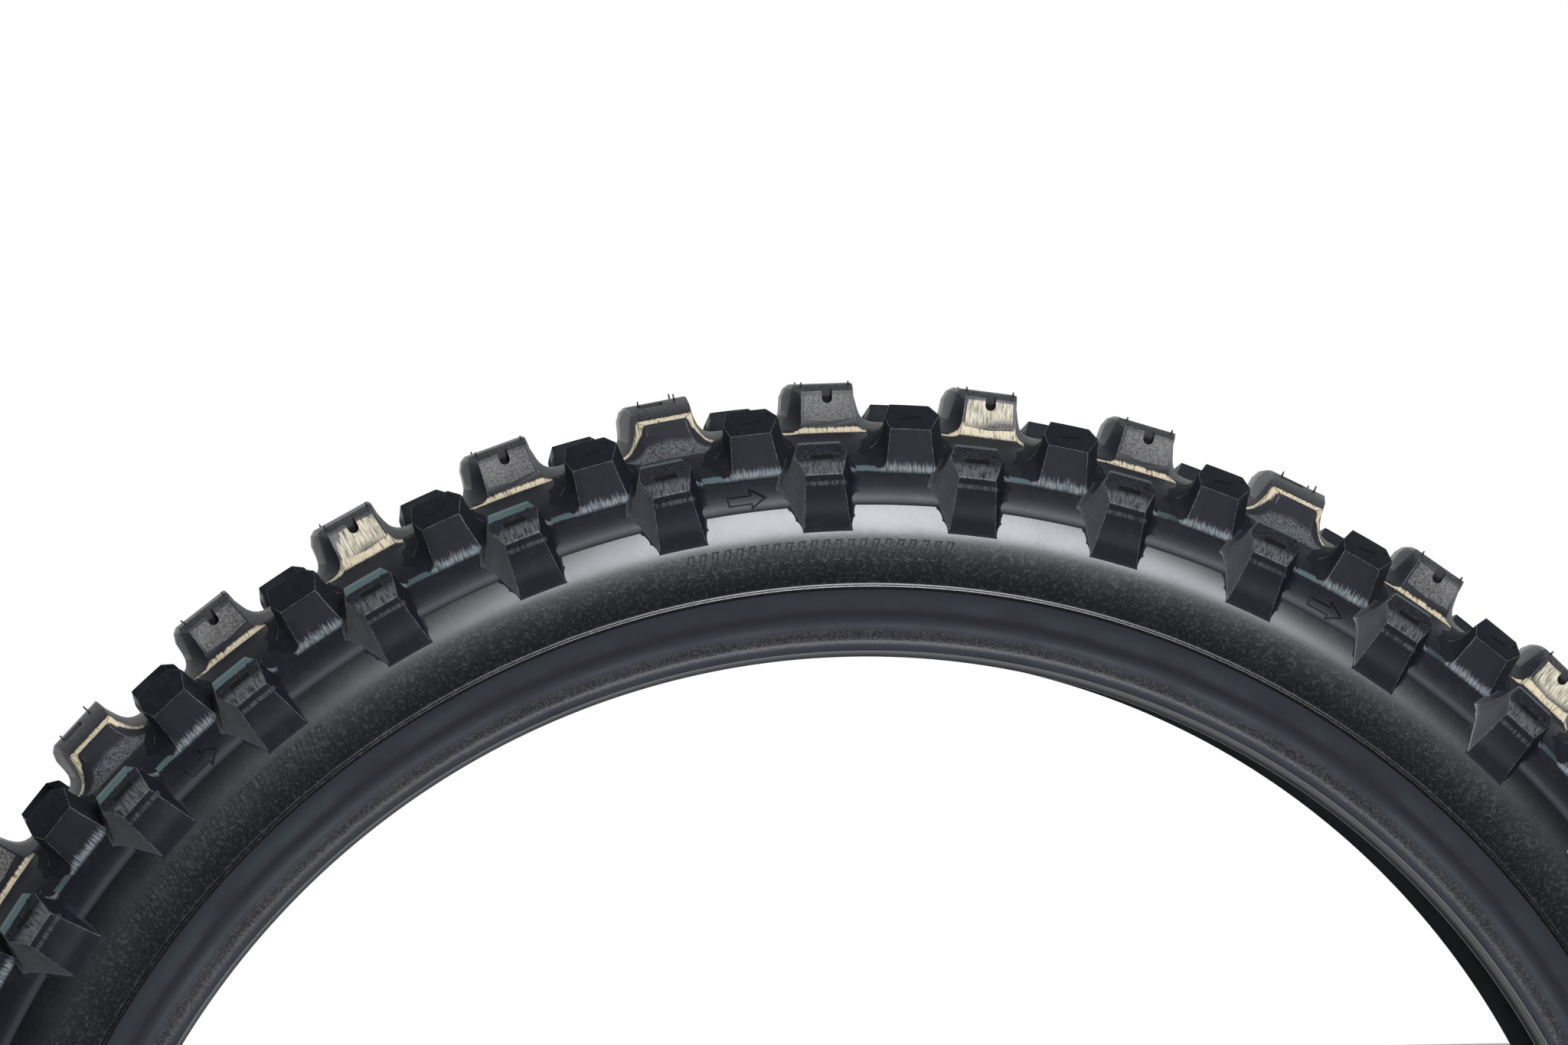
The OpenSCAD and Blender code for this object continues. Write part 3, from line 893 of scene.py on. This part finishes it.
wide_top = centre_top(flat_half, wide_y, 7.9)
levels = knob_levels(both_halves(half), wide_top)
wide = draw_up("wide_knob", levels)
wide.data.materials.append(knob_black)
rib_the_top(wide, levels)
paint_flank_sheen(wide, crown_r + sheen_rise, 0.5, 12)
soften(wide)
for side in (-1, 1):
    cut_out(wide, top_cutter(bar(-2.6, side * 6.6, 8.0, 2.6), wide_top, 2.2))
hair_y = 6.0
hair_r = wide_top(hair_y)
add_hairs(wide, [(5.6, -hair_y, hair_r + 0.5, 2.4), (-6.6, -hair_y, hair_r + 0.4, 2.0),
                 (5.6, hair_y, hair_r + 0.5, 2.4)])
wide_turns = [pitch * i for i in range(3, knob_places, 4)]
cast_row(wide, "wide_centre_row", wide_turns, "centre_knobs_wide")
bpy.data.objects.remove(wide)


# ---- Intermediate knobs -------------------------------------------------------------------------
# Between the centre knobs, half a pitch round, stands a row on either shoulder. Each top is a
# hexagon that tilts outwards, with a thin slit in it and the cut-off vents as small dots. The
# blue-green line crosses the foot of the outer face in pale streaks, partly where the rubber flowed
# down and partly a painted reflection of the light on the fillet.

mid_in_y, mid_out_y = 21.3, 29.2
mid_in_r, mid_fall = 8.1, 1.013
side_in_y, side_out_y = 35.3, 41.7
side_in_r, side_fall = 20.1, 1.66
top_plane = crest_r - side_in_r + side_fall * side_in_y


def mid_top(across):
    return crest_r - mid_in_r - mid_fall * (across - mid_in_y)


def long_sides(corners, longest=4.5):
    """A knob's corners, with more put in so that no side of its foot is longer than this."""
    rows = []
    for first, second in zip(corners, corners[1:] + corners[:1]):
        parts = math.ceil(math.dist(first[2:4], second[2:4]) / longest)
        rows += [tuple(a + (b - a) * i / parts for a, b in zip(first, second))
                 for i in range(parts)]
    return rows


def shoulder_rubber():
    """Shoulder knob black, with the blue-green line on the side knobs' tops and round the feet of
    the intermediate ones, drawn down in pale streaks that are partly a painted reflection."""
    material, place = new_material("shoulder_knob_rubber")
    radius, across, turn = wheel_place(place)
    colour, roughness, height = moulded_black(place)
    streak = brush_marks(place, 1.5, 0.3, 0.12)
    foot = (across + (streak - 0.5) * 1.4).near(31.9, 0.5, 0.6) * radius.step(336.5, 334)
    foot = foot * radius.step(325.5, 327.0)
    pale = streak.step(0.36, 0.62)
    behind = turn.step(-0.22, -0.36)
    top = radius.step(332.0, 332.8)
    edge = (across + (streak - 0.5) * 0.4).near(36.1, 0.55, 0.3) * top * behind
    trace = across.near(35.5, 0.15, 0.25) * top * 0.4
    # Painted reflection in part: the pale grey of the streaks at the intermediate knobs' feet.
    line = (pale * 0.8).mix((0.045, 0.070, 0.078, 1), (0.25, 0.26, 0.295, 1))
    grit = place.noise(1.5, 5.0, 0.7)
    outer = across.step(39.0, 39.8) * radius.step(326.5, 325.6)
    low = outer * radius.step(321, 309) * (grit * 0.6 + 0.4) * 0.8
    rim = outer * radius.near(322.8, 0.45, 0.5) * pale * 0.5
    flat_top = (radius + across * side_fall).step(top_plane - 0.8, top_plane - 0.3)
    rub = flat_top * across.near(40.7, 0.8, 1.3) * streak.step(0.36, 0.56) * 0.75
    dust = flat_top * across.step(34.5, 35.2) * grit.step(0.45, 0.6) * 0.4
    colour = dust.mix(low.mix(colour, (0.034, 0.035, 0.039, 1)), (0.040, 0.040, 0.043, 1))
    colour = (rub + rim).mix(colour, (0.085, 0.088, 0.096, 1))
    colour = trace.mix(edge.mix((foot * 0.75).mix(colour, line), teal), (0.12, 0.15, 0.15, 1))
    return finish(material, colour, roughness + 0.25, height, 0.03, 0.17)


mid_corners = long_sides([
    (-7.3, mid_in_y, -9.6, skin_run(3, 18.6), 6.0, 0.2),
    (5.9, mid_in_y, 8.8, skin_run(3, 18.6), 4.0, 0.2),
    (9.2, 24.0, 11.0, skin_run(3, 23.8), 3.6, 0.24),
    (5.6, mid_out_y, 7.6, skin_run(3, 31.3), 2.6, 0.26),
    (-7.8, mid_out_y, -9.0, skin_run(3, 31.3), 2.6, 0.26),
    (-9.4, 25.6, -11.6, skin_run(3, 25.6), 6.5, 0.22)])
shoulder_black = shoulder_rubber()
mid_knob = draw_up("intermediate_knob", knob_levels(mid_corners, mid_top))
mid_knob.data.materials.append(shoulder_black)
paint_flank_sheen(mid_knob, crown_r + 1.5, 0.6)
soften(mid_knob)
cut_out(mid_knob, top_cutter(bar(-0.5, 25.4, 6.4, 0.6, -0.16), mid_top, 1.6))
add_hairs(mid_knob, [(6.2, 22.8, mid_top(22.8), 0.5), (-5.2, 28.2, mid_top(28.2), 0.9)], 0.6)
mid_turns = [pitch * (i + 0.5) for i in range(knob_places)]
for side in ("left", "right"):
    cast_row(mid_knob, side + "_intermediate_row", mid_turns, side + "_intermediate_knobs",
             side == "right")
bpy.data.objects.remove(mid_knob)


# ---- Side knobs ---------------------------------------------------------------------------------
# The outer row, one degree behind the centre knobs. Its tops tilt outwards too, with a slot and two
# vent dots, and its tall outer faces run down over the edge of the tread onto the sidewall. A broad
# two-faced buttress holds each one up at the back.

def side_top(across):
    return crest_r - side_in_r - side_fall * (across - side_in_y)


side_corners = long_sides([
    (-7.2, side_in_y, -10.2, skin_run(2, 330.2), 3.2, 0.24),
    (6.6, side_in_y, 9.0, skin_run(2, 330.2), 3.0, 0.24),
    (8.9, 37.2, 10.9, skin_run(2, 323.5), 2.6, 0.28),
    (6.4, side_out_y, 8.8, skin_run(2, 307.4), 0.8, 0.3),
    (-5.9, side_out_y, -6.8, skin_run(2, 307.4), 0.8, 0.3),
    (-8.8, 38.0, -14.2, skin_run(2, 321.8), 1.6, 0.3)])
side_knob = draw_up("side_knob", knob_levels(side_corners, side_top))
side_knob.data.materials.append(shoulder_black)
paint_flank_sheen(side_knob, 308, 0.3)
soften(side_knob)
cut_out(side_knob, top_cutter(bar(0.1, 38.3, 7.4, 0.9), side_top, 2.2))
add_hairs(side_knob, [(5.8, 36.9, side_top(36.9), 0.9), (-5.4, 40.3, side_top(40.3), 0.9)], 0.75)
side_turns = [pitch * i - 1 for i in range(knob_places)]
for side in ("left", "right"):
    cast_row(side_knob, side + "_side_row", side_turns, side + "_side_knobs",
             side == "right")
bpy.data.objects.remove(side_knob)


# ---- Marks on the sidewalls ---------------------------------------------------------------------
# Outlined arrows between the side knobs show which way the tyre rolls, small raised dots are the
# plugs of the mould's vents, and rows of plain slanted bars stand lower down. They are engraved in
# the mould, so they stand proud of the wall.

def raised_mark(name, outline, proud):
    """A mark that stands proud of the left sidewall, from an outline of (round, radius)."""
    runs = [(x, skin_run(2, radius)) for x, radius in outline]
    mark = draw_up(name, [[on_skin(x, run, lift) for x, run in runs] for lift in (-0.3, proud)])
    mark.data.materials.append(wall_skin)
    return mark


def hollow_out(mark, line, depth):
    """Leaves only the outline of a raised mark, as a thin rib, and sinks the rest into the wall."""
    pick(mark, lambda centre, normal: normal.y > 0.6)
    bpy.ops.object.mode_set(mode="EDIT")
    bpy.ops.mesh.inset(thickness=line * 0.001, depth=0)
    bpy.ops.mesh.inset(thickness=0.0001, depth=-depth * 0.001)
    bpy.ops.object.mode_set(mode="OBJECT")


arrow = raised_mark("arrow", [(-6.4, 317.9), (1.2, 317.9), (1.2, 315.9), (6.6, 319.4), (1.2, 322.9),
                              (1.2, 320.9), (-6.4, 320.9)], 0.9)
arrow.data.materials[0] = shoulder_black
hollow_out(arrow, 0.55, 1.0)
arrow_turns = [-5.5 + 36 * i for i in range(10)]
dot_r, dot_half = 299, 0.45
dot_outline = [(dot_half * math.cos(i * math.pi / 4), dot_r + dot_half * math.sin(i * math.pi / 4))
               for i in range(8)]
dot = raised_mark("vent_dot", dot_outline, 0.3)
soften(dot, 0.1)
dot_turns = [3 + 18 * i for i in range(20)]
tall_outline = [(-1.9, 297.2), (0.3, 297.2), (1.9, 304.2), (-0.3, 304.2)]
tall_bar = raised_mark("slanted_bar", tall_outline, 0.4)
hollow_out(tall_bar, 0.45, 0.6)
tall_turns = [start + i * 0.78 for start in (-9.6, -51.5, 128.5, 170.4) for i in range(22)]
low_outline = [(-0.9, 296.6), (0.3, 296.6), (0.9, 299.6), (-0.3, 299.6)]
low_bar = raised_mark("low_bar", low_outline, 0.3)
low_turns = [start + i * 0.52 for start in (34.0, 42.5, 214.0, 222.5) for i in range(14)]
marks = ((arrow, "rolling_arrows", arrow_turns), (dot, "vent_dots", dot_turns),
         (tall_bar, "tall_bars", tall_turns), (low_bar, "low_bars", low_turns))
for side in ("left", "right"):
    for mark, name, turns in marks:
        cast_row(mark, side + "_" + name, turns, side + "_sidewall",
                 side == "right")
for mark, name, turns in marks:
    bpy.data.objects.remove(mark)


# ---- Floor, light and camera --------------------------------------------------------------------
# A pale round floor under the standing tyre, white all round, and one large soft light high up on
# the right-hand side. The far side is bright and the near side dark, as round a lit white sweep.

bpy.ops.object.select_all(action="DESELECT")
floor_r, floor_z = 4.9, -0.3565
bpy.ops.mesh.primitive_circle_add(vertices=96, radius=floor_r, fill_type="NGON",
                                  location=(0, 0, floor_z))
floor = bpy.context.object
floor.name = "pale_floor"
bpy.ops.object.transform_apply(location=True, rotation=True, scale=True)
floor_paint, place = new_material("pale_floor_paint")
tone = place.noise(0.002, 3.0).mix((0.72, 0.72, 0.71, 1), (0.78, 0.78, 0.77, 1))
floor.data.materials.append(finish(floor_paint, tone, 0.7, place.noise(0.01, 2.0), 0.02))
floor.visible_glossy = False

world = bpy.data.worlds.new("white_sweep")
world.use_nodes = True
tree = world.node_tree
tree.nodes.clear()
ray = Wire(tree, tree.nodes.new("ShaderNodeTexCoord").outputs["Generated"])
y = ray.split()[1]
glow = y.step(-0.1, 0.5) * 0.95 + 0.06
seen = Wire(tree, tree.nodes.new("ShaderNodeLightPath").outputs["Is Camera Ray"])
strength = seen + (1 - seen) * glow
sky = ray.node("ShaderNodeBackground", {"Color": (1, 1, 1, 1), "Strength": strength})
ray.node("ShaderNodeOutputWorld", {"Surface": sky})
bpy.context.scene.world = world

lamp = bpy.data.lights.new("key_softbox", "AREA")
lamp.shape = "RECTANGLE"
lamp.size, lamp.size_y = 1.0, 1.55
lamp.energy = 98
key = bpy.data.objects.new("key_softbox", lamp)
key.location = (0.415, -2.334, 1.189)
key_aim = Vector((0.015, -0.124, 0.129))
key.rotation_euler = (key_aim - key.location).to_track_quat("-Z", "Y").to_euler()
bpy.context.collection.objects.link(key)

lens = bpy.data.cameras.new("camera")
lens.sensor_width = 36
lens.lens = 159.04
lens.clip_end = 50
camera = bpy.data.objects.new("camera", lens)
right = Vector((0.98988596, -0.13832937, -0.03147648))
forward = Vector((0.13770337, 0.99024521, -0.02126522))
up = right.cross(forward)
turn = Matrix((right, up, -forward)).transposed()
camera.matrix_world = Matrix.Translation((-0.3324, -2.2931, 0.3586)) @ turn.to_4x4()
bpy.context.collection.objects.link(camera)
bpy.context.scene.camera = camera
bpy.context.scene.view_settings.view_transform = "Standard"
